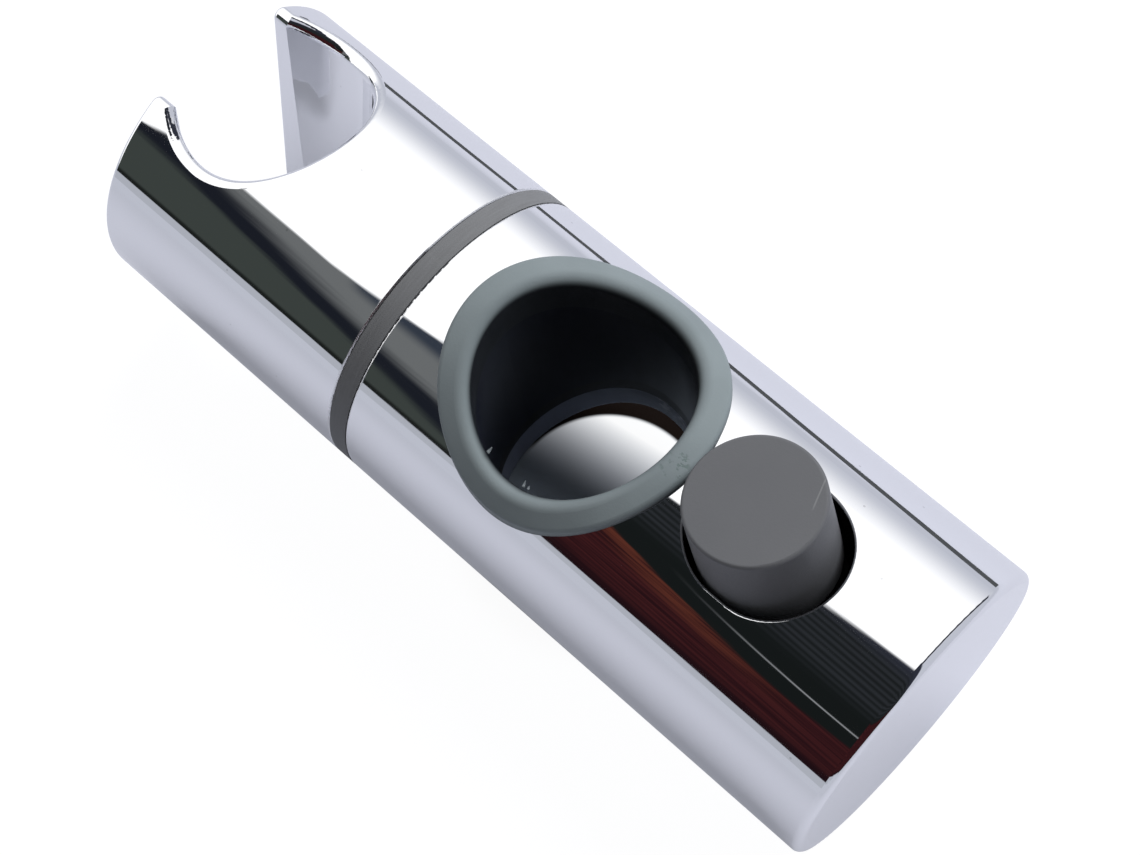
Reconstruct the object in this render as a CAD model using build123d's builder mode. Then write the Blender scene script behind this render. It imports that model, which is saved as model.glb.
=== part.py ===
"""Shower rail slider: a chrome barrel that grips a round rail, and a holder that turns on its end.

The origin is the middle of the rail hole. Z runs along the rail, out of the face that has the button.
X runs along the barrel, from the rail towards the holder. All sizes are in millimetres.
"""
from build123d import *
from math import cos, hypot, radians, sin, tan
import os

os.makedirs("parts", exist_ok=True)

# Rail hole
rail_diameter = 25.0
rail_clearance = 0.1
sleeve_wall = 1.3

# Barrel shell
barrel_side_wall = 7.4
shell_wall = 2.0
closed_end_wall = 2.2
slot_to_closed_end = 12.45
bezel_to_joint = 5.0
closed_end_round = 1.0
joint_edge_round = 0.3

# Bezel rings round the rail hole
bezel_width = 3.7
bezel_height = 1.1
bezel_round = 0.6
bezel_mouth_round = 1.3
skirt_depth = 2.7
skirt_wall = 1.15
front_neck_depth = 6.0
rear_neck_depth = 8.0

# Friction ring between barrel and holder
ring_width = 2.6
ring_face_width = 6.0
ring_lip_depth = 1.0
ring_lip_width = 1.2
ring_lip_inset = 3.4

# Holder and its conical seat
joint_to_seat_back = 18.35
seat_end_cut = 1.15
seat_diameter = 22.1
seat_half_angle = 2.0
seat_tilt = 11.7
seat_to_mouth_step = 2.2
seat_rim_round = 1.1
holder_end_round = 0.5
holder_hollow_depth = 13.6
holder_wall = 2.8
holder_boss_diameter = 17.0
holder_rib_width = 1.8
holder_rib_count = 3

# Turning joint
spigot_diameter = 10.0
bush_wall = 1.4
bush_flange_diameter = 17.0
bush_flange_thickness = 0.7
end_plate_thickness = 3.0
screw_diameter = 4.0
screw_length = 17.7
screw_head_diameter = 7.6
screw_head_height = 1.7
recess_width = 0.9
recess_length = 4.2
recess_depth = 0.9
washer_diameter = 12.0
washer_thickness = 0.6
disc_diameter = 11.6
disc_thickness = 0.4
disc_cone_height = 0.2
insert_diameter = 6.8
insert_length = 10.0
insert_depth = 0.7
screw_hole_runout = 1.5
seal_section = 2.5
seal_mean_diameter = 13.5

# Core inside the shell
buffer_thickness = 1.0
buffer_diameter = 28.0
back_pocket_depth = 7.0
back_pocket_wall = 2.2
back_rib_width = 2.0
back_hub_diameter = 12.0
driver_hole_diameter = 6.4

# Button
button_top_diameter = 15.5
button_height = 7.13
button_draft = 0.8
button_lean = 9.7
slot_middle_to_button = 0.8
button_edge_round = 0.4
button_skirt_depth = 6.5
button_wall = 1.5
button_top_thickness = 2.1
button_socket_wall = 1.4
bezel_to_slot = 1.2
slot_side_gap = 0.55
slot_travel = 2.05
slot_edge_round = 0.25

# Lever, its pin and its pad
sleeve_to_pivot = 3.3
pivot_depth = 10.5
hub_diameter = 5.2
lever_width = 8.2
lever_plate_thickness = 2.2
lever_plate_diameter = 12.4
lever_plate_drop = 0.8
post_diameter = 6.0
post_length = 4.7
nose_thickness = 3.15
nose_depth = 4.1
nose_gap = 0.45
pad_height = 4.2
pad_width = 8.0
pad_key_diameter = 2.4
pad_key_length = 1.5
pin_diameter = 2.0
pin_length = 18.0
press_angle = 11.0

# Lever spring
spring_top_depth = 10.0
spring_length = 18.0
spring_mean_diameter = 6.8
spring_wire = 0.8
spring_turns = 7
spring_guide_diameter = 5.2
spring_guide_length = 4.0
spring_nub_length = 2.0

# Clearances
sliding_gap = 0.05
fit_gap = 0.02
core_gap = 0.15
lever_gap = 0.5
well_gap = 0.3
joint_gap = 0.05
pocket_gap = 0.6

# Sizes that follow from those above
bore_radius = rail_diameter / 2 + rail_clearance
barrel_radius = bore_radius + barrel_side_wall
barrel_diameter = 2 * barrel_radius
shell_inner_radius = barrel_radius - shell_wall
sleeve_radius = bore_radius + sleeve_wall
sleeve_hole_radius = sleeve_radius + sliding_gap
skirt_radius = sleeve_hole_radius + skirt_wall
shell_hole_radius = skirt_radius + sliding_gap
bezel_radius = bore_radius + bezel_width
bezel_top_radius = barrel_radius + bezel_height
skirt_bottom_radius = barrel_radius - skirt_depth
slot_width = button_top_diameter + 2 * slot_side_gap
slot_length = slot_width + slot_travel
slot_front_from_rail = bezel_radius + bezel_to_slot
slot_end_from_rail = slot_front_from_rail + slot_length
rail_to_closed_end = slot_end_from_rail + slot_to_closed_end
rail_to_joint = bezel_radius + bezel_to_joint
shell_length = rail_to_closed_end + rail_to_joint
core_radius = shell_inner_radius - core_gap
shell_floor_x = closed_end_wall - rail_to_closed_end
core_back_x = shell_floor_x + buffer_thickness
core_length = rail_to_joint - core_back_x
holder_start_x = rail_to_joint + ring_width
seat_radius = seat_diameter / 2
rail_to_seat = holder_start_x + joint_to_seat_back + seat_radius
holder_length = joint_to_seat_back + seat_diameter - seat_end_cut
holder_end_x = holder_start_x + holder_length
mouth_width = seat_diameter - 2 * seat_to_mouth_step

# Turning joint, from the holder back towards the rail
end_plate_x = rail_to_joint - end_plate_thickness
flange_x = end_plate_x - bush_flange_thickness
disc_stack = 2 * (disc_thickness + disc_cone_height)
washer_x = flange_x - disc_stack - washer_thickness
screw_head_x = washer_x - screw_head_height
spigot_radius = spigot_diameter / 2
spigot_end_x = end_plate_x - bush_flange_thickness / 2
bush_bore_radius = spigot_radius + sliding_gap
bush_radius = bush_bore_radius + bush_wall
screw_radius = screw_diameter / 2
screw_hole_radius = screw_radius + 4 * sliding_gap
insert_x = holder_start_x + insert_depth
insert_radius = insert_diameter / 2
stack_room_radius = bush_flange_diameter / 2 + pocket_gap

# Button axis and lever
lean = radians(button_lean)
rail_to_button = (slot_front_from_rail + slot_end_from_rail) / 2 - slot_middle_to_button
button_axis = Vector(sin(lean), 0, cos(lean))
button_side = Vector(cos(lean), 0, -sin(lean))
button_foot = Vector(-rail_to_button, 0, barrel_radius)
button_plane = Plane(origin=button_foot, x_dir=button_side, z_dir=button_axis)
button_section = Plane(origin=button_foot, x_dir=button_side, z_dir=(0, -1, 0))
button_radius = button_top_diameter / 2
button_foot_radius = button_radius + (button_height + button_skirt_depth) * tan(radians(button_draft))
slot_radius = slot_width / 2
slot_centres = slot_travel
slot_x = -(slot_end_from_rail + slot_front_from_rail) / 2
well_radius = slot_radius + well_gap
plate_top = -button_skirt_depth - lever_plate_drop
plate_middle = plate_top - lever_plate_thickness / 2
pivot_from_rail = sleeve_radius + sleeve_to_pivot
pivot_height = barrel_radius - pivot_depth
nose_top = barrel_radius - nose_depth
spring_top_height = barrel_radius - spring_top_depth
spring_foot_height = spring_top_height - spring_length
pivot = Vector(-pivot_from_rail, 0, pivot_height)
post_radius = post_diameter / 2
socket_radius = post_radius + sliding_gap
plate_centre = button_foot + button_axis * plate_middle
arm_length = hypot(pivot.X - plate_centre.X, pivot.Z - plate_centre.Z)
nose_face_x = -sleeve_radius - nose_gap
bay_width = lever_width + 2 * lever_gap
press = radians(press_angle)
nose_reach = hypot(nose_top - pivot_height, pivot_from_rail - bore_radius)
window_top = pivot_height + nose_reach + lever_gap / 2
window_bottom = nose_top - pad_height - lever_gap
spring_x = slot_centres / 2 + slot_x - slot_centres
well_floor = pivot_height - hub_diameter / 2 - 5 * lever_gap
bay_floor = pivot_height - hub_diameter / 2 - lever_gap
spring_well_radius = spring_mean_diameter / 2 + spring_wire / 2 + lever_gap


# Chrome shell: a cup closed at the far end, open where the holder turns
with BuildPart() as barrel_shell:
    with BuildSketch(Plane.YZ.offset(-rail_to_closed_end)):
        Circle(barrel_radius)
    extrude(amount=shell_length)
    fillet(barrel_shell.faces().sort_by(Axis.X)[0].edges(), closed_end_round)
    fillet(barrel_shell.faces().sort_by(Axis.X)[-1].edges(), joint_edge_round)
    with BuildSketch(Plane.YZ.offset(shell_floor_x)):
        Circle(shell_inner_radius)
    extrude(amount=shell_length - closed_end_wall, mode=Mode.SUBTRACT)
    with BuildSketch(Plane.XY):
        Circle(shell_hole_radius)
    extrude(amount=barrel_diameter, both=True, mode=Mode.SUBTRACT)
    with BuildSketch(Plane.XY):
        with Locations((slot_x, 0)):
            SlotCenterToCenter(slot_centres, slot_width)
    extrude(amount=barrel_diameter, mode=Mode.SUBTRACT)
    slot_rim = [
        edge
        for edge in barrel_shell.edges()
        if abs(hypot((edge @ 0.5).Y, (edge @ 0.5).Z) - barrel_radius) < 0.01
        and -slot_end_from_rail - 0.1 < (edge @ 0.5).X < -slot_front_from_rail + 0.1
        and (edge @ 0.5).Z > shell_inner_radius / 2
    ]
    fillet(slot_rim, slot_edge_round)
barrel_shell.part.label = "barrel_shell"
export_step(barrel_shell.part, "parts/barrel_shell.step")

# Ring cut in the core that leaves room for the bezel skirts
with BuildPart() as skirt_room:
    with BuildSketch(Plane.XY):
        Circle(shell_hole_radius)
    extrude(amount=barrel_diameter, both=True)
    with BuildSketch(Plane.YZ):
        Circle(skirt_bottom_radius - sliding_gap)
    extrude(amount=barrel_diameter, both=True, mode=Mode.SUBTRACT)

# Black core: holds the rail sleeve, the lever and the end plate that the holder turns on
with BuildPart() as rail_core:
    with BuildSketch(Plane.YZ.offset(core_back_x)):
        Circle(core_radius)
    extrude(amount=core_length)
    with BuildSketch(Plane.XY):
        Circle(sleeve_hole_radius)
    extrude(amount=barrel_diameter, both=True, mode=Mode.SUBTRACT)
    add(skirt_room.part, mode=Mode.SUBTRACT)
    with BuildSketch(Plane.YZ):
        Circle(stack_room_radius)
    extrude(amount=end_plate_x, mode=Mode.SUBTRACT)
    with BuildSketch(Plane.YZ.offset(end_plate_x)):
        Circle(bush_radius + fit_gap)
    extrude(amount=end_plate_thickness, mode=Mode.SUBTRACT)
    with BuildSketch(Plane.YZ.offset(rail_to_joint - ring_lip_depth - sliding_gap)):
        Circle(barrel_radius - ring_lip_inset + sliding_gap)
        Circle(barrel_radius - ring_lip_inset - ring_lip_width - sliding_gap, mode=Mode.SUBTRACT)
    extrude(amount=ring_lip_depth + sliding_gap, mode=Mode.SUBTRACT)
    with BuildSketch(Plane.XY.offset(well_floor)):
        with Locations((slot_x, 0)):
            SlotCenterToCenter(slot_centres, 2 * well_radius)
    extrude(amount=barrel_diameter, mode=Mode.SUBTRACT)
    with BuildSketch(Plane.XY.offset(bay_floor)):
        with Locations(((spring_x - bore_radius) / 2, 0)):
            Rectangle(-spring_x - bore_radius, bay_width)
    extrude(amount=barrel_diameter, mode=Mode.SUBTRACT)
    with BuildSketch(Plane.XY.offset(spring_foot_height)):
        with Locations((spring_x, 0)):
            Circle(spring_well_radius)
            Circle(spring_guide_diameter / 2, mode=Mode.SUBTRACT)
    extrude(amount=well_floor - spring_foot_height, mode=Mode.SUBTRACT)
    with BuildSketch(Plane.XY.offset(spring_foot_height + spring_guide_length)):
        with Locations((spring_x, 0)):
            Circle(spring_guide_diameter / 2)
    extrude(amount=well_floor - spring_foot_height - spring_guide_length, mode=Mode.SUBTRACT)
    with BuildSketch(Plane.XZ.offset(-pin_length / 2)):
        with Locations((pivot.X, pivot.Z)):
            Circle(pin_diameter / 2 + fit_gap)
    extrude(amount=barrel_diameter, mode=Mode.SUBTRACT)
    with BuildSketch(Plane.YZ.offset(core_back_x)):
        Circle(core_radius - back_pocket_wall)
        Circle(back_hub_diameter / 2, mode=Mode.SUBTRACT)
        Rectangle(back_rib_width, core_radius * 2, mode=Mode.SUBTRACT)
        Rectangle(core_radius * 2, back_rib_width, mode=Mode.SUBTRACT)
    extrude(amount=back_pocket_depth, mode=Mode.SUBTRACT)
    with BuildSketch(Plane.YZ.offset(core_back_x)):
        Circle(driver_hole_diameter / 2)
    extrude(amount=-core_back_x - bore_radius, mode=Mode.SUBTRACT)
rail_core.part.label = "rail_core"
export_step(rail_core.part, "parts/rail_core.step")

# Black sleeve that the rail passes through, between the bezels' necks, with a window for the brake pad
with BuildPart() as rail_sleeve:
    with BuildSketch(Plane.XY):
        Circle(sleeve_radius)
        Circle(bore_radius, mode=Mode.SUBTRACT)
    extrude(amount=barrel_diameter, both=True)
    with BuildSketch(Plane.YZ):
        with Locations((0, -front_neck_depth)):
            Circle(barrel_radius)
    extrude(amount=barrel_diameter, both=True, mode=Mode.INTERSECT)
    with BuildSketch(Plane.YZ):
        with Locations((0, rear_neck_depth)):
            Circle(barrel_radius)
    extrude(amount=barrel_diameter, both=True, mode=Mode.INTERSECT)
    with BuildSketch(Plane.YZ):
        with Locations((0, (window_top + window_bottom) / 2)):
            Rectangle(bay_width, window_top - window_bottom)
    extrude(amount=-barrel_diameter, mode=Mode.SUBTRACT)
rail_sleeve.part.label = "rail_sleeve"
export_step(rail_sleeve.part, "parts/rail_sleeve.step")

# Flange and skirt of a bezel: a saddle ring that lies on the shell, and a skirt that stands in its hole
with BuildPart() as bezel_skirt:
    with BuildSketch(Plane.XY):
        Circle(skirt_radius)
        Circle(bore_radius, mode=Mode.SUBTRACT)
    extrude(amount=barrel_diameter)
    with BuildSketch(Plane.YZ):
        Circle(barrel_radius + bezel_height / 2)
    extrude(amount=barrel_diameter, both=True, mode=Mode.INTERSECT)
    with BuildSketch(Plane.YZ):
        Circle(skirt_bottom_radius)
    extrude(amount=barrel_diameter, both=True, mode=Mode.SUBTRACT)

with BuildPart() as bezel_blank:
    with BuildSketch(Plane.XY):
        Circle(bezel_radius)
        Circle(bore_radius, mode=Mode.SUBTRACT)
    extrude(amount=barrel_diameter)
    with BuildSketch(Plane.YZ):
        Circle(bezel_top_radius)
    extrude(amount=barrel_diameter, both=True, mode=Mode.INTERSECT)
    with BuildSketch(Plane.YZ):
        Circle(barrel_radius + sliding_gap)
    extrude(amount=barrel_diameter, both=True, mode=Mode.SUBTRACT)
    add(bezel_skirt.part)


def rim_edges(bezel, radius):
    """The edges of a bezel's outer face that lie at one radius round the rail hole."""
    return [
        edge
        for edge in bezel.edges()
        if abs(hypot((edge @ 0.3).Y, (edge @ 0.3).Z) - bezel_top_radius) < 0.01
        and abs(hypot((edge @ 0.3).X, (edge @ 0.3).Y) - radius) < 0.01
    ]


# Grey bezel on the button's side, with a neck that lines the mouth of the hole and leaves room for the pad
with BuildPart() as front_neck:
    with BuildSketch(Plane.XY):
        Circle(sleeve_radius)
        Circle(bore_radius, mode=Mode.SUBTRACT)
    extrude(amount=barrel_diameter)
    with BuildSketch(Plane.YZ):
        Circle(barrel_radius + bezel_height / 2)
    extrude(amount=barrel_diameter, both=True, mode=Mode.INTERSECT)
    with BuildSketch(Plane.YZ):
        with Locations((0, -front_neck_depth)):
            Circle(barrel_radius)
    extrude(amount=barrel_diameter, both=True, mode=Mode.SUBTRACT)

with BuildPart() as front_bezel:
    add(bezel_blank.part)
    add(front_neck.part)
    fillet(rim_edges(front_bezel, bore_radius), bezel_mouth_round)
    fillet(rim_edges(front_bezel, bezel_radius), bezel_round)
    with BuildSketch(Plane.YZ):
        with Locations((0, window_top / 2)):
            Rectangle(bay_width, window_top)
    extrude(amount=-shell_hole_radius, mode=Mode.SUBTRACT)
front_bezel.part.label = "front_bezel"
export_step(front_bezel.part, "parts/front_bezel.step")

# Grey bezel on the far side, with a longer neck all round
with BuildPart() as rear_neck:
    with BuildSketch(Plane.XY):
        Circle(sleeve_radius)
        Circle(bore_radius, mode=Mode.SUBTRACT)
    extrude(amount=-barrel_diameter)
    with BuildSketch(Plane.YZ):
        Circle(barrel_radius + bezel_height / 2)
    extrude(amount=barrel_diameter, both=True, mode=Mode.INTERSECT)
    with BuildSketch(Plane.YZ):
        with Locations((0, rear_neck_depth)):
            Circle(barrel_radius)
    extrude(amount=barrel_diameter, both=True, mode=Mode.SUBTRACT)

with BuildPart() as rear_bezel:
    add(mirror(bezel_blank.part, about=Plane.XY, mode=Mode.PRIVATE))
    add(rear_neck.part)
    fillet(rim_edges(rear_bezel, bore_radius), bezel_mouth_round)
    fillet(rim_edges(rear_bezel, bezel_radius), bezel_round)
rear_bezel.part.label = "rear_bezel"
export_step(rear_bezel.part, "parts/rear_bezel.step")

# Grey friction ring, with a lip that centres it in the core's end plate
with BuildPart() as friction_ring:
    with BuildSketch(Plane.YZ.offset(rail_to_joint)):
        Circle(barrel_radius)
        Circle(barrel_radius - ring_face_width, mode=Mode.SUBTRACT)
    extrude(amount=ring_width - joint_gap)
    with BuildSketch(Plane.YZ.offset(rail_to_joint)):
        Circle(barrel_radius - ring_lip_inset)
        Circle(barrel_radius - ring_lip_inset - ring_lip_width, mode=Mode.SUBTRACT)
    extrude(amount=-ring_lip_depth)
friction_ring.part.label = "friction_ring"
export_step(friction_ring.part, "parts/friction_ring.step")

# Chrome holder: round body, conical seat across it and a mouth that opens the seat to the end
seat_plane = Plane(
    origin=(rail_to_seat, 0, 0),
    x_dir=(1, 0, 0),
    z_dir=(0, -sin(radians(seat_tilt)), cos(radians(seat_tilt))),
)
seat_reach = barrel_radius + shell_wall
seat_slope = tan(radians(seat_half_angle))
with BuildPart() as handset_holder:
    with BuildSketch(Plane.YZ.offset(holder_start_x)):
        Circle(barrel_radius)
    extrude(amount=holder_length)
    with BuildSketch(seat_plane.offset(-seat_reach)):
        Circle(seat_radius - seat_reach * seat_slope)
    with BuildSketch(seat_plane.offset(seat_reach)):
        Circle(seat_radius + seat_reach * seat_slope)
    loft(mode=Mode.SUBTRACT)
    with BuildSketch(seat_plane.offset(-seat_reach)):
        with Locations((holder_length / 2, 0)):
            Rectangle(holder_length, mouth_width)
    extrude(amount=2 * seat_reach, mode=Mode.SUBTRACT)
    seat_rims = [
        edge
        for edge in handset_holder.edges()
        if abs(hypot((edge @ 0.5).Y, (edge @ 0.5).Z) - barrel_radius) < 0.01
        and holder_start_x + 1 < (edge @ 0.5).X < holder_end_x - 0.01
    ]
    fillet(seat_rims, seat_rim_round)
    fillet(handset_holder.faces().filter_by(Axis.X).group_by(Axis.X)[-1].edges(), holder_end_round)
    fillet(handset_holder.faces().sort_by(Axis.X)[0].edges(), joint_edge_round)
    with BuildSketch(Plane.YZ.offset(holder_start_x)):
        Circle(barrel_radius - holder_wall)
        Circle(holder_boss_diameter / 2, mode=Mode.SUBTRACT)
        with PolarLocations(0, holder_rib_count):
            with Locations((barrel_radius / 2, 0)):
                Rectangle(barrel_radius, holder_rib_width, mode=Mode.SUBTRACT)
    extrude(amount=holder_hollow_depth, mode=Mode.SUBTRACT)
    with BuildSketch(Plane.YZ.offset(spigot_end_x)):
        Circle(spigot_radius)
    extrude(amount=holder_start_x - spigot_end_x)
    with BuildSketch(Plane.YZ.offset(spigot_end_x)):
        Circle(screw_hole_radius)
    extrude(amount=insert_x + insert_length + screw_hole_runout - spigot_end_x, mode=Mode.SUBTRACT)
    with BuildSketch(Plane.YZ.offset(insert_x)):
        Circle(insert_radius)
    extrude(amount=insert_length, mode=Mode.SUBTRACT)
handset_holder.part.label = "handset_holder"
export_step(handset_holder.part, "parts/handset_holder.step")

# Brass insert moulded into the holder's boss
with BuildPart() as threaded_insert:
    with BuildSketch(Plane.YZ.offset(insert_x)):
        Circle(insert_radius)
        Circle(screw_radius + fit_gap, mode=Mode.SUBTRACT)
    extrude(amount=insert_length)
threaded_insert.part.label = "threaded_insert"
export_step(threaded_insert.part, "parts/threaded_insert.step")

# Plastic bush in the end plate, with a flange that the disc springs press on
with BuildPart() as pivot_bush:
    with BuildSketch(Plane.YZ.offset(flange_x)):
        Circle(bush_flange_diameter / 2)
        Circle(bush_bore_radius, mode=Mode.SUBTRACT)
    extrude(amount=bush_flange_thickness)
    with BuildSketch(Plane.YZ.offset(end_plate_x)):
        Circle(bush_radius)
        Circle(bush_bore_radius, mode=Mode.SUBTRACT)
    extrude(amount=end_plate_thickness)
pivot_bush.part.label = "pivot_bush"
export_step(pivot_bush.part, "parts/pivot_bush.step")

# Pan head screw that ties the holder to the barrel
with BuildPart() as pivot_screw:
    with BuildSketch(Plane.YZ.offset(screw_head_x)):
        Circle(screw_head_diameter / 2)
    extrude(amount=screw_head_height)
    fillet(pivot_screw.faces().sort_by(Axis.X)[0].edges(), screw_head_height / 3)
    with BuildSketch(Plane.YZ.offset(washer_x)):
        Circle(screw_radius)
    extrude(amount=screw_length)
    with BuildSketch(Plane.YZ.offset(screw_head_x)):
        Rectangle(recess_length, recess_width)
        Rectangle(recess_width, recess_length)
    extrude(amount=recess_depth, mode=Mode.SUBTRACT)
pivot_screw.part.label = "pivot_screw"
export_step(pivot_screw.part, "parts/pivot_screw.step")

# Flat washer under the screw head
with BuildPart() as pivot_washer:
    with BuildSketch(Plane.YZ.offset(washer_x)):
        Circle(washer_diameter / 2)
        Circle(screw_hole_radius, mode=Mode.SUBTRACT)
    extrude(amount=washer_thickness)
pivot_washer.part.label = "pivot_washer"
export_step(pivot_washer.part, "parts/pivot_washer.step")

# Two disc springs, inner edges together, that press the holder on the friction ring
disc_middle_x = flange_x - disc_stack / 2
with BuildPart() as disc_spring_outer:
    with BuildSketch(Plane.XY):
        with BuildLine():
            Polyline(
                (disc_middle_x, screw_hole_radius),
                (disc_middle_x + disc_thickness, screw_hole_radius),
                (flange_x, disc_diameter / 2),
                (flange_x - disc_thickness, disc_diameter / 2),
                close=True,
            )
        make_face()
    revolve(axis=Axis.X)
disc_spring_outer.part.label = "disc_spring_outer"
export_step(disc_spring_outer.part, "parts/disc_spring_outer.step")

with BuildPart() as disc_spring_inner:
    add(mirror(disc_spring_outer.part, about=Plane.YZ.offset(disc_middle_x), mode=Mode.PRIVATE))
disc_spring_inner.part.label = "disc_spring_inner"
export_step(disc_spring_inner.part, "parts/disc_spring_inner.step")

# Rubber ring round the spigot that smooths the turning
with BuildPart() as pivot_seal:
    with BuildSketch(Plane.XY):
        with Locations((rail_to_joint + ring_width / 2, seal_mean_diameter / 2)):
            Circle(seal_section / 2)
    revolve(axis=Axis.X)
pivot_seal.part.label = "pivot_seal"
export_step(pivot_seal.part, "parts/pivot_seal.step")

# Foam rubber disc that keeps the core from rattling on the closed end
with BuildPart() as end_buffer:
    with BuildSketch(Plane.YZ.offset(shell_floor_x)):
        Circle(buffer_diameter / 2)
    extrude(amount=buffer_thickness)
end_buffer.part.label = "end_buffer"
export_step(end_buffer.part, "parts/end_buffer.step")

# Lever: hub on the pin, nose towards the rail, plate and post under the button
with BuildPart() as brake_lever:
    with BuildSketch(Plane.XZ):
        with Locations((pivot.X, pivot.Z)):
            Circle(hub_diameter / 2)
        with BuildLine():
            Polyline(
                (nose_face_x - nose_thickness, pivot_height),
                (nose_face_x, pivot_height),
                (nose_face_x, nose_top),
                (nose_face_x - nose_thickness, nose_top),
                close=True,
            )
        make_face()
        with Locations((plate_centre.X, plate_centre.Z)):
            with Locations(Rotation(0, 0, -button_lean)):
                with Locations((arm_length / 2, 0)):
                    Rectangle(arm_length, lever_plate_thickness)
    extrude(amount=lever_width / 2, both=True)
    with BuildSketch(button_plane.offset(plate_top)):
        Circle(lever_plate_diameter / 2)
    extrude(amount=-lever_plate_thickness)
    with BuildSketch(button_plane.offset(plate_top)):
        Circle(post_radius)
    extrude(amount=post_length)
    with BuildSketch(Plane.XY.offset(spring_top_height)):
        with Locations((spring_x, 0)):
            Circle(spring_mean_diameter / 2 + spring_wire)
    extrude(until=Until.NEXT)
    with BuildSketch(Plane.XY.offset(spring_top_height)):
        with Locations((spring_x, 0)):
            Circle(spring_guide_diameter / 2)
    extrude(amount=-spring_nub_length)
    with BuildSketch(Plane.XZ):
        with Locations((pivot.X, pivot.Z)):
            Circle(pin_diameter / 2 + sliding_gap)
    extrude(amount=lever_width, both=True, mode=Mode.SUBTRACT)
    with BuildSketch(Plane.YZ.offset(nose_face_x)):
        with Locations((0, nose_top - pad_height / 2)):
            Circle(pad_key_diameter / 2 + fit_gap)
    extrude(amount=-pad_key_length, mode=Mode.SUBTRACT)
brake_lever.part.label = "brake_lever"
export_step(brake_lever.part, "parts/brake_lever.step")

# Grey button cap, pressed on the lever's post from outside
with BuildPart() as release_button:
    with BuildSketch(button_section):
        with BuildLine():
            Polyline(
                (0, button_height),
                (button_radius, button_height),
                (button_foot_radius, -button_skirt_depth),
                (button_foot_radius - button_wall, -button_skirt_depth),
                (button_radius - button_wall, button_height - button_top_thickness),
                (socket_radius + button_socket_wall, button_height - button_top_thickness),
                (socket_radius + button_socket_wall, plate_top),
                (socket_radius, plate_top),
                (socket_radius, plate_top + post_length + sliding_gap),
                (0, plate_top + post_length + sliding_gap),
                close=True,
            )
        make_face()
    revolve(axis=Axis(button_foot, button_axis))
    fillet(release_button.faces().sort_by(Axis(button_foot, button_axis))[-1].edges(), button_edge_round)
release_button.part.label = "release_button"
export_step(release_button.part, "parts/release_button.step")

# Rubber pad keyed into the lever's nose, hollowed to the rail's round
with BuildPart() as brake_pad:
    with BuildSketch(Plane.XY.offset(nose_top - pad_height)):
        with Locations((nose_face_x / 2, 0)):
            Rectangle(-nose_face_x, pad_width)
        Circle(bore_radius, mode=Mode.SUBTRACT)
    extrude(amount=pad_height)
    with BuildSketch(Plane.YZ.offset(nose_face_x)):
        with Locations((0, nose_top - pad_height / 2)):
            Circle(pad_key_diameter / 2)
    extrude(amount=-pad_key_length + sliding_gap)
brake_pad.part.label = "brake_pad"
export_step(brake_pad.part, "parts/brake_pad.step")

# Steel cross pin that the lever rocks on
with BuildPart() as lever_pin:
    with BuildSketch(Plane.XZ):
        with Locations((pivot.X, pivot.Z)):
            Circle(pin_diameter / 2)
    extrude(amount=pin_length / 2, both=True)
lever_pin.part.label = "lever_pin"
export_step(lever_pin.part, "parts/lever_pin.step")

# Steel spring that pushes the button out and so the pad on the rail
spring_height = spring_top_height - spring_foot_height - spring_wire - 2 * sliding_gap
with BuildPart() as lever_spring:
    with BuildLine(Plane(origin=(spring_x, 0, spring_foot_height + spring_wire / 2 + sliding_gap))):
        coil = Helix(spring_height / spring_turns, spring_height, spring_mean_diameter / 2)
    with BuildSketch(Plane(origin=coil @ 0, z_dir=coil % 0)):
        Circle(spring_wire / 2)
    sweep(is_frenet=True)
lever_spring.part.label = "lever_spring"
export_step(lever_spring.part, "parts/lever_spring.step")
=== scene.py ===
from math import cos, hypot, pi, radians, sin, sqrt

import bmesh
import bpy
from mathutils import Matrix, Quaternion, Vector


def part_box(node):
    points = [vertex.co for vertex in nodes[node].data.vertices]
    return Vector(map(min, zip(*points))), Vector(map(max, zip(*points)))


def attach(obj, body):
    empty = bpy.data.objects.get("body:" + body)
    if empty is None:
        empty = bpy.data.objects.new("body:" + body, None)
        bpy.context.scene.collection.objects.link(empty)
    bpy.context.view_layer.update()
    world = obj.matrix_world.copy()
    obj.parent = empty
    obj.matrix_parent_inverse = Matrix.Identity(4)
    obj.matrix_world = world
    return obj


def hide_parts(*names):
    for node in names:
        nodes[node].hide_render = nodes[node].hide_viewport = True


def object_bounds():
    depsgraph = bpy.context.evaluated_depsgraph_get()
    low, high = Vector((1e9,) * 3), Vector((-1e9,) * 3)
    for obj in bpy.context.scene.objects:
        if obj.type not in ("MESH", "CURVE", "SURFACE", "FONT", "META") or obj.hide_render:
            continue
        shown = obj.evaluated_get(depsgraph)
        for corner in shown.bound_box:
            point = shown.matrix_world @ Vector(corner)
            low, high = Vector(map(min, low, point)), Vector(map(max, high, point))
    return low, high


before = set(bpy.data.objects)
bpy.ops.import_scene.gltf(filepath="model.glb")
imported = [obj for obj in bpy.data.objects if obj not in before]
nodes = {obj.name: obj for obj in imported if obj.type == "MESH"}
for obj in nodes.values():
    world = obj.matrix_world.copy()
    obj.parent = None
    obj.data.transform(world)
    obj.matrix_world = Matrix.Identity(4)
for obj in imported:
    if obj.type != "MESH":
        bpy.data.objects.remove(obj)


def plain(box):
    return [[float(v) for v in corner] for corner in box]


cad_box = plain(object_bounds())


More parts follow.
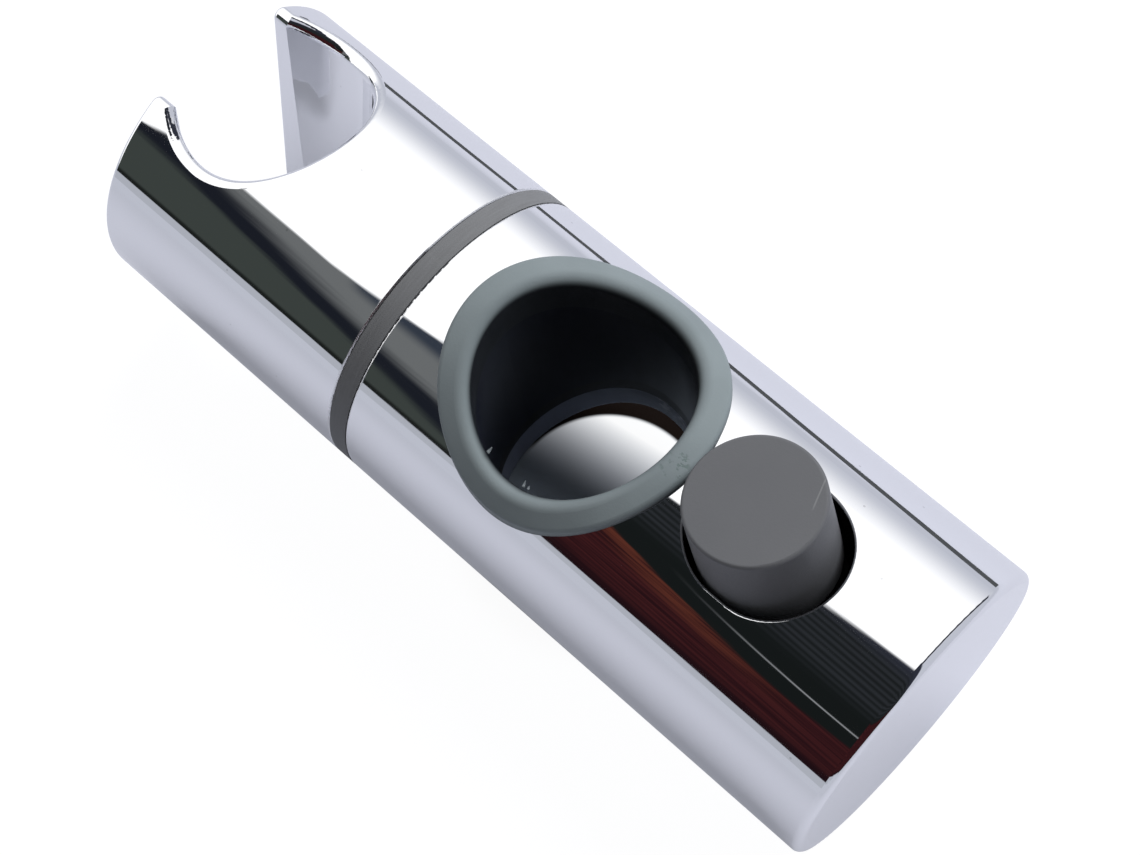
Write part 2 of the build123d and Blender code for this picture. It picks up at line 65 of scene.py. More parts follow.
# The camera stands above the button's side, a little past the closed end, and looks down at the
# whole slider, which fills the frame from corner to corner.
lens = bpy.data.cameras.new("view_from_above")
lens.sensor_fit = "HORIZONTAL"
lens.sensor_width = 36.0
lens.lens = 69.52
lens.clip_start = 0.01
lens.clip_end = 20.0
viewer = bpy.data.objects.new("view_from_above", lens)
viewer.location = (-0.0758514, 0.0584227, 0.2402206)
viewer.rotation_mode = "QUATERNION"
viewer.rotation_quaternion = Quaternion((-0.35265365, -0.10488402, 0.16309781, 0.91544189))
bpy.context.scene.collection.objects.link(viewer)
bpy.context.scene.camera = viewer
bpy.context.scene.view_settings.view_transform = "Standard"


# The table: a wide pale lavender sheet that the slider lies on. It is white to the camera, keeps a
# faint shadow, and shows its own pale tone in the plating.
class Tone:
    """A shader socket that can be used in Python expressions on values."""

    def __init__(self, finish, socket):
        self.finish = finish
        self.socket = socket

    def combine(self, operation, first, second):
        return self.finish.add("ShaderNodeMath", {"operation": operation}, {0: first, 1: second})

    def __add__(self, other):
        return self.combine("ADD", self, other)

    def __radd__(self, other):
        return self.combine("ADD", other, self)

    def __sub__(self, other):
        return self.combine("SUBTRACT", self, other)

    def __rsub__(self, other):
        return self.combine("SUBTRACT", other, self)

    def __mul__(self, other):
        return self.combine("MULTIPLY", self, other)

    def __truediv__(self, other):
        return self.combine("DIVIDE", self, other)

    def least(self, other):
        return self.combine("MINIMUM", self, other)

    def most(self, other):
        return self.combine("MAXIMUM", self, other)

    def sine(self):
        return self.combine("SINE", self, 0.0)

    def root(self):
        return self.combine("SQRT", self, 0.0)


class Finish:
    """A material or world whose nodes are added one call at a time."""

    def __init__(self, name, world=False):
        self.data = (bpy.data.worlds if world else bpy.data.materials).new(name)
        self.data.use_nodes = True
        self.tree = self.data.node_tree
        self.tree.nodes.clear()
        self.out = self.tree.nodes.new("ShaderNodeOutputWorld" if world else "ShaderNodeOutputMaterial")

    def add(self, kind, settings=None, sockets=None, out=0):
        node = self.tree.nodes.new(kind)
        for name, value in (settings or {}).items():
            setattr(node, name, value)
        for key, value in (sockets or {}).items():
            if isinstance(value, Tone):
                self.tree.links.new(value.socket, node.inputs[key])
            else:
                node.inputs[key].default_value = value
        return Tone(self, node.outputs[out])

    def place(self):
        """Where a point lies on the object, in metres."""
        return self.add("ShaderNodeTexCoord", out="Object")

    def axes(self, vector):
        split = self.add("ShaderNodeSeparateXYZ", None, {0: vector})
        outs = split.socket.node.outputs
        return Tone(self, outs[0]), Tone(self, outs[1]), Tone(self, outs[2])

    def ramp(self, value, low, high, to_low=0.0, to_high=1.0):
        """A soft step from low to high."""
        return self.add(
            "ShaderNodeMapRange",
            {"interpolation_type": "SMOOTHSTEP"},
            {"Value": value, "From Min": low, "From Max": high, "To Min": to_low, "To Max": to_high},
        )

    def noise(self, vector, scale, detail=2.0, rough=0.5, stretch=None):
        if stretch is not None:
            vector = self.add("ShaderNodeMapping", None, {"Vector": vector, "Scale": stretch})
        sockets = {"Vector": vector, "Scale": scale, "Detail": detail, "Roughness": rough}
        return self.add("ShaderNodeTexNoise", None, sockets)

    def bump(self, height, strength, distance):
        """A surface direction that follows a height."""
        sockets = {"Height": height, "Strength": strength, "Distance": distance}
        return self.add("ShaderNodeBump", None, sockets)

    def blend(self, factor, first, second):
        """A colour between two others."""
        node = self.tree.nodes.new("ShaderNodeMix")
        node.data_type = "RGBA"
        for key, value in ((0, factor), (6, first), (7, second)):
            if isinstance(value, Tone):
                self.tree.links.new(value.socket, node.inputs[key])
            elif key:
                node.inputs[key].default_value = (*value[:3], 1.0)
            else:
                node.inputs[key].default_value = value
        return Tone(self, node.outputs[2])

    def surface(self, shader):
        self.tree.links.new(shader.socket, self.out.inputs["Surface"])
        return self.data

    def solid(self, **sockets):
        """The usual surface shader, with the values or links of its sockets."""
        named = {name.replace("_", " "): value for name, value in sockets.items()}
        return self.surface(self.add("ShaderNodeBsdfPrincipled", None, named))


def new_piece(name, mesh_bm, material, smooth=True):
    mesh = bpy.data.meshes.new(name)
    mesh_bm.to_mesh(mesh)
    mesh_bm.free()
    for face in mesh.polygons:
        face.use_smooth = smooth
    mesh.materials.append(material)
    piece = bpy.data.objects.new(name, mesh)
    bpy.context.scene.collection.objects.link(piece)
    return piece


mm = 0.001
table_height = cad_box[0][2] - 0.1 * mm
table_half_width = 3.0
table_tone = (0.66, 0.67, 0.76, 1.0)
white = (1.0, 1.0, 1.0, 1.0)
table_finish = Finish("pale_table")
seen = table_finish.add("ShaderNodeLightPath", out="Is Camera Ray")
spot = table_finish.place()
table_x, table_y = table_finish.axes(spot)[:2]
off_axis = (table_x * table_x + table_y * table_y).root()

# Through the bore the table is painted from dark to white as painted shade, with a painted shadow of the
# rear bezel round it.
in_bore = table_finish.ramp(off_axis, 16 * mm, 15 * mm)
in_bore = in_bore * table_finish.ramp(table_y, 9 * mm, 7 * mm)
dark_from = 1.5 * mm
dark_to_white = 12 * mm
lit = ((table_x * 0.15 - table_y + dark_from) / dark_to_white).most(0.0).least(1.0)
rim_shadow = table_finish.ramp(off_axis, 12.4 * mm, 13.0 * mm)
rim_shadow = rim_shadow * table_finish.ramp(table_x, -4 * mm, -1 * mm)
rim_shadow = rim_shadow * table_finish.ramp(table_y, 2 * mm, -1 * mm)
open_share = lit * lit * lit.root() * (1.0 - rim_shadow)
paper_and_shade_tone = table_finish.blend(in_bore, table_tone, (0.33, 0.38, 0.45))
paper_and_shade_tone = table_finish.blend(in_bore * rim_shadow, paper_and_shade_tone, (0.010, 0.007, 0.006))
paper = table_finish.add("ShaderNodeBsdfDiffuse", None, {"Color": paper_and_shade_tone})
# Where the painted shade falls, the glow to the camera is painted bluish grey.
glow_and_shade_tone = table_finish.blend(in_bore * (1.0 - lit), white, (0.84, 0.91, 1.06))
glow = table_finish.add("ShaderNodeEmission", None, {"Color": glow_and_shade_tone, "Strength": 1.12})
most_glow = 0.84
share = seen * most_glow * (1.0 - in_bore * (1.0 - open_share))

# In the plating the table keeps a level tone, also beyond the lamp's reach.
far_light = table_finish.add("ShaderNodeEmission", None, {"Color": (0.54, 0.56, 0.63, 1.0)})
near_share = 0.35
far_off = table_finish.ramp(off_axis, 17 * mm, 22 * mm) * near_share
far_off = far_off + table_finish.ramp(off_axis, 60 * mm, 400 * mm) * (1.0 - near_share)
paper = table_finish.add("ShaderNodeMixShader", None, {0: far_off, 1: paper, 2: far_light})
table_surface = table_finish.add("ShaderNodeMixShader", None, {0: share, 1: paper, 2: glow})
table_bm = bmesh.new()
bmesh.ops.create_grid(table_bm, x_segments=1, y_segments=1, size=table_half_width)
bmesh.ops.translate(table_bm, verts=table_bm.verts, vec=(0, 0, table_height))
table = new_piece("table", table_bm, table_finish.surface(table_surface), smooth=False)


# The studio round the slider, which only the plating and the gloss see: a white sheet overhead and on
# one side, and behind the camera a dark room with slatted panels, a strip of light and red wood.
room_radius = 4.0
room_finish = Finish("studio_room")
heading = room_finish.add("ShaderNodeVectorMath", {"operation": "NORMALIZE"}, {0: room_finish.place()})
room_x, room_y, room_z = room_finish.axes(heading)
to_degrees = 180 / pi
turn = room_finish.add("ShaderNodeMath", {"operation": "ARCTAN2"}, {0: room_y, 1: room_z}) * to_degrees
wobble = room_finish.noise(heading, 9.0, 3.0, 0.6, stretch=(0.5, 1.0, 1.0)) - 0.5

# Where the overhead sheet ends and the dark begins, in degrees from straight up.
past_end = (room_x - 0.48).most(0.0)
sheet_edge = (room_x * 140 - 27.2).most(room_x * 85 - 17).most(-14.0).least(33.5)
sheet_edge = sheet_edge + past_end * past_end * 3500 + wobble * 5
table_edge = 84.5
table_blur = 0.5
dark_mask = room_finish.ramp(turn - sheet_edge, -1.4, 1.4)
dark_mask = dark_mask * room_finish.ramp(turn, table_edge + table_blur, table_edge)

# A dark gap past the closed end, which edges the barrel's rounding with a thin line.
end_gap = room_finish.ramp(room_x, -0.03, -0.07) * room_finish.ramp(room_x, -0.30, -0.24)
end_gap = end_gap * room_finish.ramp(turn, -86.0, -82.0) * room_finish.ramp(turn, 60.0, 50.0)
dark_mask = dark_mask.most(end_gap)

# The bright part: the white sheet, lavender low on one side and past the closed end.
lavender = (0.56, 0.58, 0.65)
sheet_white = (1.24, 1.24, 1.24)
low_grey = (0.44, 0.46, 0.51)
bright = room_finish.blend(room_finish.ramp(turn, -92.0, -58.0), lavender, sheet_white)
bright = room_finish.blend(room_finish.ramp(room_x, -0.24, -0.32), bright, lavender)
bright = room_finish.blend(room_finish.ramp(turn, table_edge - table_blur, table_edge), bright, low_grey)

# Behind the holder's end: a grey haze, a black gap, an olive wall and a black sill.
gap_line = turn - (117.0 - room_x * 137) + wobble * 14
into_gap = room_finish.ramp(gap_line, -16.0, -3.0)
haze = room_finish.blend(into_gap, (0.150, 0.158, 0.160), (0.011, 0.013, 0.019))
holder_side = room_finish.blend(room_finish.ramp(gap_line, 2.0, 8.0), haze, (0.046, 0.055, 0.050))
sill = room_finish.ramp(turn, 80.0, 83.0)
holder_side = room_finish.blend(sill, holder_side, (0.012, 0.014, 0.013))

# Behind the button's end: dark slats, a thin strip of light, then red wood with a warm patch.
slats = (turn * 1.75 + wobble * 4).sine() * 0.5 + 0.5
slat_tone = room_finish.blend(slats, (0.011, 0.013, 0.014), (0.024, 0.027, 0.031))
slat_tone = room_finish.blend(room_finish.ramp(turn, 24.0, 38.0), slat_tone, (0.008, 0.010, 0.010))
slat_tone = room_finish.blend(room_finish.ramp(turn, 4.0, -10.0), slat_tone, (0.030, 0.033, 0.048))
side_x = room_x.most(0.0)
strip_bend = (side_x - 0.14) * (side_x - 0.14) * 700
strip_line = turn - 47.5 + strip_bend + wobble * 2
strip = room_finish.ramp(strip_line, -1.1, 0.0) * room_finish.ramp(strip_line, 0.9, 0.1)
strip = strip * room_finish.ramp(room_x, 0.23, 0.13) * room_finish.ramp(room_x, 0.02, 0.05)
strip = strip * room_finish.ramp(wobble, -0.25, 0.1)
slat_tone = room_finish.blend(strip, slat_tone, (0.30, 0.31, 0.32))
glints = room_finish.noise(heading, 60.0, 2.0, 0.6, stretch=(0.4, 1.0, 1.0))
glints = room_finish.ramp(glints, 0.60, 0.68) * room_finish.ramp(room_x, 0.11, 0.07)
glints = glints * room_finish.ramp(turn, 36.0, 41.0) * room_finish.ramp(turn, 52.0, 47.0)
slat_tone = room_finish.blend(glints * 0.6, slat_tone, (0.26, 0.27, 0.28))
wood_bend = (side_x - 0.155) * (side_x - 0.155) * 900
wood_line = turn - 56.5 + wood_bend + wobble * 6
grain_lines = room_finish.noise(heading, 16.0, 4.0, 0.65, stretch=(0.5, 3.0, 3.0))
grain_share = room_finish.ramp(grain_lines, 0.35, 0.65)
wood = room_finish.blend(grain_share, (0.020, 0.006, 0.008), (0.050, 0.012, 0.013))
warm = room_finish.ramp(wood_line, 12.0, 2.0) * room_finish.ramp(room_x, 0.13, 0.21)
wood = room_finish.blend(warm * room_finish.ramp(grain_lines, 0.3, 0.6), wood, (0.105, 0.029, 0.018))
wood = room_finish.blend(room_finish.ramp(turn, 74.0, 84.0), wood, (0.013, 0.005, 0.007))
button_side = room_finish.blend(room_finish.ramp(wood_line, -1.0, 1.0), slat_tone, wood)

# The two sides together, with a blue patch and some dark clutter beside the holder's prong.
gloom = room_finish.blend(room_finish.ramp(room_x, 0.27, 0.35), button_side, holder_side)
blue_patch = room_finish.ramp(room_x, 0.34, 0.37) * room_finish.ramp(room_x, 0.425, 0.415)
blue_patch = blue_patch * room_finish.ramp(turn, 40.0, 31.0)
gloom = room_finish.blend(blue_patch * 0.9, gloom, (0.022, 0.031, 0.050))
clutter = room_finish.noise(heading, 26.0, 2.0, 0.7)
prong_side = room_finish.ramp(room_x, 0.535, 0.55) * room_finish.ramp(room_x, 0.64, 0.60)
prong_side = prong_side * room_finish.ramp(turn, 18.0, 24.0)
clutter_share = prong_side * room_finish.ramp(clutter, 0.60, 0.64)
bright = room_finish.blend(clutter_share, bright, (0.020, 0.020, 0.024))
room_colour = room_finish.blend(dark_mask, bright, gloom)
room_bm = bmesh.new()
bmesh.ops.create_uvsphere(room_bm, u_segments=96, v_segments=48, radius=room_radius)
room_light = room_finish.add("ShaderNodeEmission", None, {"Color": room_colour})
room = new_piece("studio_room", room_bm, room_finish.surface(room_light))

# A long low dark edge that stands on the table beyond the slider. The plating shows it as a thin line
# along the barrel, which bends where the edge does.
card_finish = Finish("dark_edge")
card_path = [
    (110, -95, 7.5),
    (83, -110, 8),
    (46, -110, 8),
    (26, -140, 10.5),
    (-12, -207, 16),
    (-34, -245, 19),
]
card_bm = bmesh.new()
card_posts = []
for post_x, post_y, post_height in card_path:
    foot = card_bm.verts.new((post_x * mm, post_y * mm, table_height))
    head = card_bm.verts.new((post_x * mm, post_y * mm, table_height + post_height * mm))
    card_posts.append((foot, head))
for (foot, head), (next_foot, next_head) in zip(card_posts, card_posts[1:]):
    card_bm.faces.new((foot, next_foot, next_head, head))
card_shade = card_finish.add("ShaderNodeEmission", None, {"Color": (0.085, 0.090, 0.095, 1.0)})
card = new_piece("dark_edge", card_bm, card_finish.surface(card_shade), smooth=False)
for shown in (room, card):
    shown.visible_camera = False
    shown.visible_diffuse = False
    shown.visible_shadow = False
    shown.visible_transmission = False


# The sky and the lamp: a plain white sky, a quarter as strong on the object as to the camera, and one
# broad soft lamp above the far side.
sky = Finish("plain_sky", world=True)
sky_level = 0.25
to_camera = sky.add("ShaderNodeLightPath", out="Is Camera Ray")
sky_strength = to_camera * (1.0 - sky_level) + sky_level
sky.surface(sky.add("ShaderNodeBackground", None, {"Color": white, "Strength": sky_strength}))
bpy.context.scene.world = sky.data

lamp_data = bpy.data.lights.new("soft_lamp", "AREA")
lamp_data.shape = "DISK"
lamp_data.size = 0.8
lamp_data.energy = 10.5
lamp = bpy.data.objects.new("soft_lamp", lamp_data)
lamp.location = (-0.05, -0.60, 0.60)
lamp.rotation_euler = (-lamp.location).to_track_quat("-Z", "Y").to_euler()
lamp.visible_glossy = False
bpy.context.scene.collection.objects.link(lamp)


def dress(material, *names):
    for name in names:
        for slot in nodes[name].material_slots:
            slot.material = material


plating = Finish("bright_plating")
spot = plating.place()
smears = plating.noise(spot, 90.0, 4.0, 0.6, stretch=(0.4, 1.0, 1.0))
hairlines = plating.noise(spot, 1500.0, 2.0, 0.5, stretch=(0.06, 1.0, 1.0))
waves = plating.noise(spot, 38.0, 1.0, 0.4, stretch=(0.5, 1.0, 1.0))
specks = plating.add("ShaderNodeTexVoronoi", None, {"Vector": spot, "Scale": 260.0, "Randomness": 1.0})
speck_mask = plating.ramp(specks, 0.05, 0.03)
chrome_tone = plating.blend(speck_mask * 0.35, (0.90, 0.905, 0.925), (0.35, 0.35, 0.36))
plating_rough = 0.025 + plating.ramp(smears, 0.5, 0.8) * 0.05 + plating.ramp(hairlines, 0.62, 0.72) * 0.03
shell_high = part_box("barrel_shell")[1]
joint_low = shell_high[0]
ring_width = 2.6 * mm
from_joint = plating.axes(spot)[0] - (joint_low + ring_width / 2)
dull_edge = plating.ramp(from_joint * from_joint, (1.75 * mm) ** 2, (1.5 * mm) ** 2)
plating_rough = plating_rough + dull_edge * 0.35
plating_bump = plating.bump(waves * 0.75 + hairlines * 0.01, 0.18, 0.4 * mm)
chrome = plating.solid(Base_Color=chrome_tone, Metallic=1.0, Roughness=plating_rough, Normal=plating_bump)
dress(chrome, "barrel_shell", "handset_holder")


# The sleeve that the rail runs in: a smooth black moulded tube, pushed into the core and darker and
# shinier where rails have rubbed along it.
sleeve_finish = Finish("sleeve_black")
spot = sleeve_finish.place()
rub = sleeve_finish.noise(spot, 120.0, 3.0, 0.55, stretch=(1.0, 1.0, 0.15))
sleeve_tone = sleeve_finish.blend(rub, (0.002, 0.003, 0.009), (0.006, 0.007, 0.016))
sleeve_bump = sleeve_finish.bump(rub, 0.25, 0.1 * mm)
sleeve_black = sleeve_finish.solid(
    Base_Color=sleeve_tone, Roughness=0.30 + rub * 0.18, Normal=sleeve_bump, Specular_IOR_Level=0.18
)
dress(sleeve_black, "rail_sleeve")


# The core, the brake lever and the pivot's bush: tough black mouldings with a fine spark-eroded grain.
# The core slides into the shell and carries the rest.
core_finish = Finish("core_black")
spot = core_finish.place()
grain = core_finish.noise(spot, 2400.0, 2.0, 0.6)
core_bump = core_finish.bump(grain, 0.3, 0.05 * mm)
core_tone = core_finish.blend(grain, (0.010, 0.010, 0.012), (0.022, 0.022, 0.024))
core_black = core_finish.solid(Base_Color=core_tone, Roughness=0.45 + grain * 0.15, Normal=core_bump)
dress(core_black, "rail_core", "brake_lever", "pivot_bush")


# The bezels: satin grey saddle rings, moulded in one piece with their skirts and necks. The necks are
# painted dark as shade in the bore, the far one with a slate band of painted shade and torn chips, and the
# front face has faint ejector marks.
bezel_finish = Finish("bezel_grey")
spot = bezel_finish.place()
bezel_x, bezel_y, bezel_z = bezel_finish.axes(spot)
cloud = bezel_finish.noise(spot, 160.0, 3.0, 0.5)
fine = bezel_finish.noise(spot, 3200.0, 2.0, 0.6)
bezel_tone = bezel_finish.blend(cloud, (0.153, 0.182, 0.194), (0.204, 0.238, 0.252))

# Faint ejector marks on the front face, towards the button.
mark_x = bezel_x + 14.4 * mm
mark_y = bezel_y - 0.9 * mm
from_mark = (mark_x * mark_x + mark_y * mark_y).root()
mark_speckle = bezel_finish.noise(spot, 1100.0, 3.0, 0.7)
marks = bezel_finish.ramp(from_mark, 1.9 * mm, 1.3 * mm) * bezel_finish.ramp(mark_speckle, 0.54, 0.62)
bezel_tone = bezel_finish.blend(marks * 0.55, bezel_tone, (0.075, 0.115, 0.105))

# The necks, below the barrel's round: painted nearly black as shade in the bore, and on the far one a
# slate band of painted shade near its mouth, with chips.
neck_shade_black = (0.006, 0.007, 0.010)
barrel_radius = shell_high[2]
from_barrel_axis = (bezel_y * bezel_y + bezel_z * bezel_z).root()
neck_shade = bezel_finish.ramp(from_barrel_axis, 20.6 * mm, 19.3 * mm)
bezel_tone = bezel_finish.blend(neck_shade * 0.97, bezel_tone, neck_shade_black)
far_side = bezel_finish.ramp(bezel_z, 0.0, -1 * mm)
neck_depth = bezel_z + (barrel_radius**2 - bezel_y * bezel_y).root()
shaded_slate_band = bezel_finish.ramp(neck_depth, 5.6 * mm, 5.3 * mm)
chips = bezel_finish.noise(spot, 800.0, 2.0, 0.6)
chips = bezel_finish.ramp(chips, 0.50, 0.60) * bezel_finish.ramp(neck_depth, 2.4 * mm, 3.6 * mm)
chips = chips * bezel_finish.ramp(bezel_x, -5.5 * mm, -4.5 * mm)
chips = chips * bezel_finish.ramp(bezel_x, 2.5 * mm, 1.5 * mm)
chips = chips * bezel_finish.ramp(bezel_y, -10 * mm, -11 * mm)
shaded_slate_tone = bezel_finish.blend(chips, (0.150, 0.170, 0.225), (0.320, 0.335, 0.380))
far_neck_shade_tone = bezel_finish.blend(shaded_slate_band, (0.006, 0.006, 0.007), shaded_slate_tone)
far_neck = far_side * bezel_finish.ramp(from_barrel_axis, 20.2 * mm, 19.6 * mm)
bezel_tone = bezel_finish.blend(far_neck, bezel_tone, far_neck_shade_tone)
bezel_relief = fine + cloud * 2.0 - marks * 1.5
bezel_bump = bezel_finish.bump(bezel_relief, 0.25, 0.06 * mm)
bezel_grey = bezel_finish.solid(
    Base_Color=bezel_tone, Roughness=0.42 + cloud * 0.15, Normal=bezel_bump, Specular_IOR_Level=0.3
)
dress(bezel_grey, "front_bezel", "rear_bezel")


# The flash in the front bezel's mouth: small torn slivers of the bezel's plastic, left where the halves of
# the mould met, and painted lighter than the bezel's grey as painted light. They curl out of the neck's
# edge.
flash_finish = Finish("flash_grey")
torn = flash_finish.noise(flash_finish.place(), 2600.0, 3.0, 0.6)
flash_lit_tone = flash_finish.blend(torn, (0.24, 0.28, 0.30), (0.40, 0.45, 0.48))
flash_bump = flash_finish.bump(torn, 0.4, 0.03 * mm)
flash_grey = flash_finish.solid(Base_Color=flash_lit_tone, Roughness=0.45 + torn * 0.2, Normal=flash_bump)
bezel_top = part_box("front_bezel")[1][2]
sleeve_wall = 1.3 * mm
bore_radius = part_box("rail_sleeve")[1][0] - sleeve_wall


def sliver(bm, root, along, out, length, width):
    """A flat sliver that starts at root, runs along and curls out to a point."""
    sideways = along.cross(out)
    sides = 8
    steps = 6
    tip = 0.01 * mm
    thinness = 0.3
    rings = []
    for step in range(steps):
        t = step / (steps - 1)
        centre = root + along * length * t + out * length * 0.5 * t * t
        half = width / 2 * (1 - t) ** 0.6 + tip
        ring = []
        for side in range(sides):
            angle = 2 * pi * side / sides
            across = sideways * half * cos(angle)
            ring.append(bm.verts.new(centre + across + out * half * thinness * sin(angle)))
        rings.append([bm.edges.new((ring[side], ring[(side + 1) % sides])) for side in range(sides)])
        if step in (0, steps - 1):
            bm.faces.new(ring)
    for first, second in zip(rings, rings[1:]):
        bmesh.ops.bridge_loops(bm, edges=first + second)


flash_bm = bmesh.new()
mouth_depth = 1.4 * mm
upward = 0.35
flash_places = ((74, 0.9, 0.45), (100, 0.8, 0.35), (103, 0.45, 0.3))
for angle, length, width in flash_places:
    inward = Vector((-cos(radians(angle)), -sin(radians(angle)), 0))
    root = -bore_radius * inward
    root.z = sqrt(bezel_top**2 - root.y**2) - mouth_depth
    along = (inward + Vector((0, 0, upward))).normalized()
    out = (inward + Vector((0, 0, 1)) - along * (inward.dot(along) + along.z)).normalized()
    sliver(flash_bm, root, along, out, length * mm, width * mm)
bmesh.ops.recalc_face_normals(flash_bm, faces=flash_bm.faces)
torn_flash = new_piece("bezel_flash", flash_bm, flash_grey)
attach(torn_flash, "barrel")


# The friction ring: a matt grey ring cut from acetal, clipped between barrel and holder. The holder's
# end face rubs on it, which leaves fine marks round it.
ring_finish = Finish("ring_grey")
spot = ring_finish.place()
turned = ring_finish.noise(spot, 900.0, 2.0, 0.5, stretch=(4.0, 0.3, 0.3))
ring_tone = ring_finish.blend(turned, (0.112, 0.114, 0.120), (0.160, 0.165, 0.175))
ring_bump = ring_finish.bump(turned, 0.2, 0.05 * mm)
ring_grey = ring_finish.solid(Base_Color=ring_tone, Roughness=0.5 + turned * 0.15, Normal=ring_bump)
dress(ring_grey, "friction_ring")


# The button's cap: a round moulding of fine matt grey, pressed on the lever's post, with a faint worn
# scratch across its top.
button_finish = Finish("button_grey")
spot = button_finish.place()
dust = button_finish.noise(spot, 3500.0, 2.0, 0.6)
patch = button_finish.noise(spot, 110.0, 3.0, 0.5)
button_tone = button_finish.blend(patch, (0.088, 0.091, 0.100), (0.108, 0.111, 0.120))

# The scratch is a thin slanted line near the top's edge, broken where the grey is patchy.
button_x, button_y = button_finish.axes(spot)[:2]
scratch_slope = 0.35
scratch_line = button_x + 29.6 * mm + (button_y + 4.5 * mm) * scratch_slope
scratch = button_finish.ramp(scratch_line * scratch_line, 0.012 * mm * mm, 0.004 * mm * mm)
scratch = scratch * button_finish.ramp(button_y, -6.6 * mm, -6.0 * mm)
scratch = scratch * button_finish.ramp(button_y, -2.6 * mm, -3.4 * mm)
scratch = scratch * button_finish.ramp(patch, 0.3, 0.5)
button_tone = button_finish.blend(scratch * 0.35, button_tone, (0.26, 0.265, 0.275))
button_height_map = dust - scratch * 0.8
button_bump = button_finish.bump(button_height_map, 0.3, 0.05 * mm)
button_grey = button_finish.solid(Base_Color=button_tone, Roughness=0.42 + dust * 0.15, Normal=button_bump)
dress(button_grey, "release_button")


# The rubber pieces: the spigot's seal, a moulded ring in its groove, and the buffer, a disk cut from
# sheet between the core and the closed end. The brake pad is of the same rubber.
rubber_finish = Finish("black_rubber")
spot = rubber_finish.place()
bloom = rubber_finish.noise(spot, 700.0, 4.0, 0.6)
rubber_tone = rubber_finish.blend(bloom, (0.014, 0.014, 0.014), (0.030, 0.030, 0.031))
rubber_bump = rubber_finish.bump(bloom, 0.4, 0.08 * mm)
rubber = rubber_finish.solid(Base_Color=rubber_tone, Roughness=0.7 + bloom * 0.2, Normal=rubber_bump)
dress(rubber, "brake_pad", "pivot_seal", "end_buffer")


# The brake pad: a block of the same rubber on the lever's nose, hollowed to the rail's round, with ribs
# across its face that bite on a wet rail, and a round key that is pressed into the nose.
pad_low, pad_high = (Vector(corner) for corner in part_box("brake_pad"))
nose_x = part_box("brake_lever")[1][0]
grip_radius = hypot(pad_high.x, pad_high.y)
pad_thickness = 5 * mm
back_radius = grip_radius + pad_thickness
rib_count = 6
rib_pitch = (pad_high.z - pad_low.z) / rib_count
groove_depth = 0.45 * mm
pad_sweep = radians(26)
sweep_steps = 14
pad_bm = bmesh.new()
rib_line = []
for rib in range(rib_count):
    rib_foot = pad_low.z + rib * rib_pitch
    for part, depth in ((0.0, groove_depth), (0.2, 0.0), (0.6, 0.0), (0.8, groove_depth)):
        rib_line.append((grip_radius + depth, rib_foot + part * rib_pitch))
outline = [*rib_line, (grip_radius + groove_depth, pad_high.z)]
outline = [*outline, (back_radius, pad_high.z), (back_radius, pad_low.z)]
start_side = Matrix.Rotation(-pad_sweep / 2, 3, "Z")
outline_verts = []
for radius, height in outline:
    outline_verts.append(pad_bm.verts.new(start_side @ Vector((-radius, 0, height))))
outline_face = pad_bm.faces.new(outline_verts)
outline_geom = [outline_face, *outline_face.edges, *outline_verts]
bmesh.ops.spin(pad_bm, geom=outline_geom, axis=(0, 0, 1), angle=pad_sweep, steps=sweep_steps)
for cut_at, cut_normal in (
    ((0, pad_low.y, 0), (0, -1, 0)),
    ((0, pad_high.y, 0), (0, 1, 0)),
    ((nose_x, 0, 0), (-1, 0, 0)),
):
    whole = [*pad_bm.verts, *pad_bm.edges, *pad_bm.faces]
    cut = bmesh.ops.bisect_plane(
        pad_bm, geom=whole, plane_co=cut_at, plane_no=cut_normal, clear_outer=True
    )
    rim = [edge for edge in cut["geom_cut"] if isinstance(edge, bmesh.types.BMEdge)]
    bmesh.ops.triangle_fill(pad_bm, edges=rim, use_beauty=True)
key_length = nose_x - pad_low.x
key_turn = Matrix.Rotation(pi / 2, 4, "Y")
key_place = Matrix.Translation((nose_x - key_length / 2, 0, (pad_low.z + pad_high.z) / 2))
key_tip_radius = 1.05 * mm
key_root_radius = 1.2 * mm
bmesh.ops.create_cone(
    pad_bm,
    cap_ends=True,
    segments=24,
    radius1=key_tip_radius,
    radius2=key_root_radius,
    depth=key_length,
    matrix=key_place @ key_turn,
)
bmesh.ops.recalc_face_normals(pad_bm, faces=pad_bm.faces)
pad = new_piece("ribbed_pad", pad_bm, rubber, smooth=False)
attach(pad, "lever")
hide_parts("brake_pad")


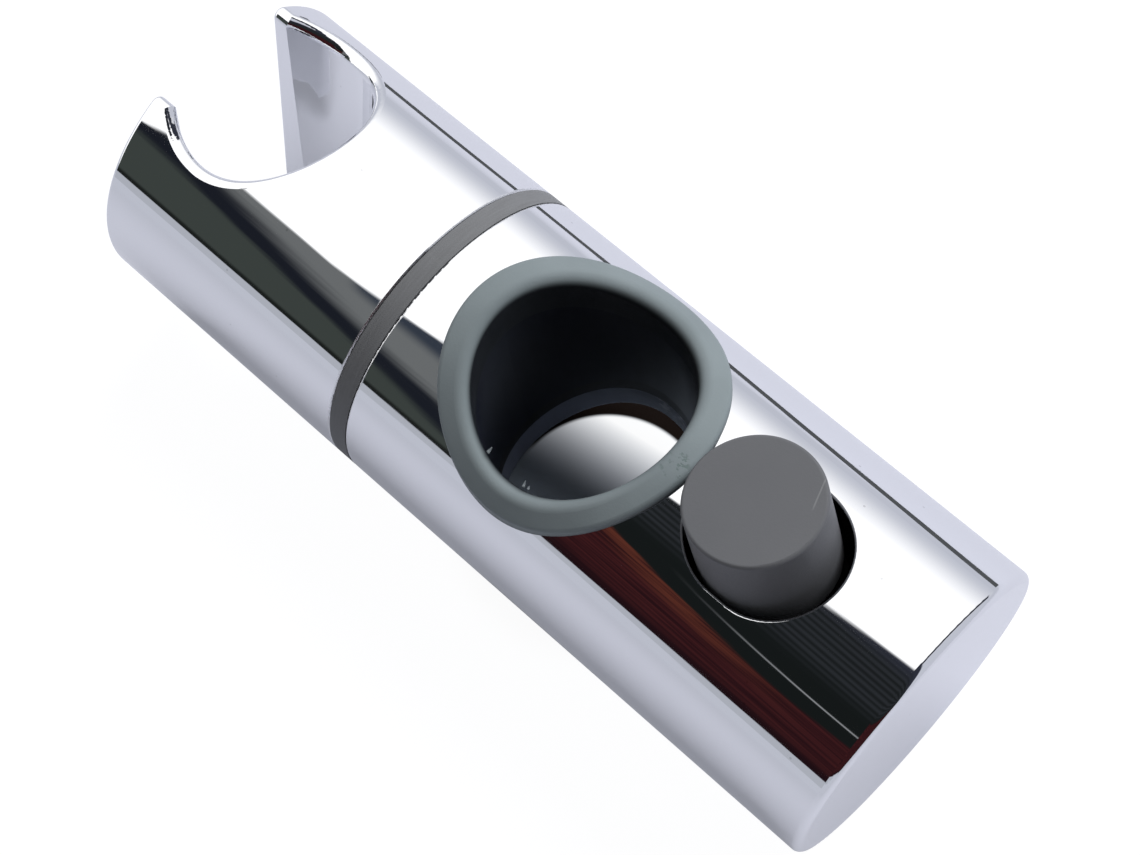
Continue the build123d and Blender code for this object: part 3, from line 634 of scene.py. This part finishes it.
# The steel pieces: a rolled screw, pressed washer and disc springs at the joint, a drawn pin under the
# lever and a coiled wire spring under the button.
steel_finish = Finish("bright_steel")
spot = steel_finish.place()
drawn = steel_finish.noise(spot, 1800.0, 3.0, 0.6, stretch=(0.2, 1.0, 1.0))
steel_tone = steel_finish.blend(drawn, (0.48, 0.48, 0.49), (0.62, 0.62, 0.63))
steel_bump = steel_finish.bump(drawn, 0.2, 0.03 * mm)
steel_rough = 0.22 + drawn * 0.12
steel = steel_finish.solid(Base_Color=steel_tone, Metallic=1.0, Roughness=steel_rough, Normal=steel_bump)
dress(steel, "pivot_screw", "pivot_washer", "disc_spring_inner", "disc_spring_outer")
dress(steel, "lever_pin", "lever_spring")


# The screw's thread: a rolled ridge of the same steel that winds along the shank inside the insert,
# sharp at its crest.
insert_low, insert_high = (Vector(corner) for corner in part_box("threaded_insert"))
shank_radius = 2.0 * mm
thread_pitch = 0.7 * mm
thread_height = 0.16 * mm
ridge_half = thread_pitch * 0.35
root_radius = shank_radius - 0.02 * mm
thread_turns = int((insert_high.x - insert_low.x) / thread_pitch) - 1
turn_steps = 24
thread_bm = bmesh.new()
ridge = [
    thread_bm.verts.new((insert_low.x - ridge_half, 0, root_radius)),
    thread_bm.verts.new((insert_low.x, 0, shank_radius + thread_height)),
    thread_bm.verts.new((insert_low.x + ridge_half, 0, root_radius)),
]
ridge_face = thread_bm.faces.new(ridge)
bmesh.ops.spin(
    thread_bm,
    geom=[ridge_face, *ridge_face.edges, *ridge],
    cent=(0, 0, 0),
    axis=(1, 0, 0),
    dvec=(thread_pitch / turn_steps, 0, 0),
    angle=2 * pi * thread_turns,
    steps=turn_steps * thread_turns,
)
bmesh.ops.recalc_face_normals(thread_bm, faces=thread_bm.faces)
rolled_thread = new_piece("screw_thread", thread_bm, steel, smooth=False)
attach(rolled_thread, "holder")


# The threaded insert: a knurled bush turned from brass bar, moulded into the holder's boss to take the
# screw.
brass_finish = Finish("turned_brass")
spot = brass_finish.place()
lathe = brass_finish.noise(spot, 1500.0, 2.0, 0.6, stretch=(3.0, 0.3, 0.3))
brass_tone = brass_finish.blend(lathe, (0.60, 0.42, 0.17), (0.74, 0.55, 0.26))
brass_bump = brass_finish.bump(lathe, 0.3, 0.04 * mm)
brass_rough = 0.25 + lathe * 0.15
brass = brass_finish.solid(Base_Color=brass_tone, Metallic=1.0, Roughness=brass_rough, Normal=brass_bump)
dress(brass, "threaded_insert")
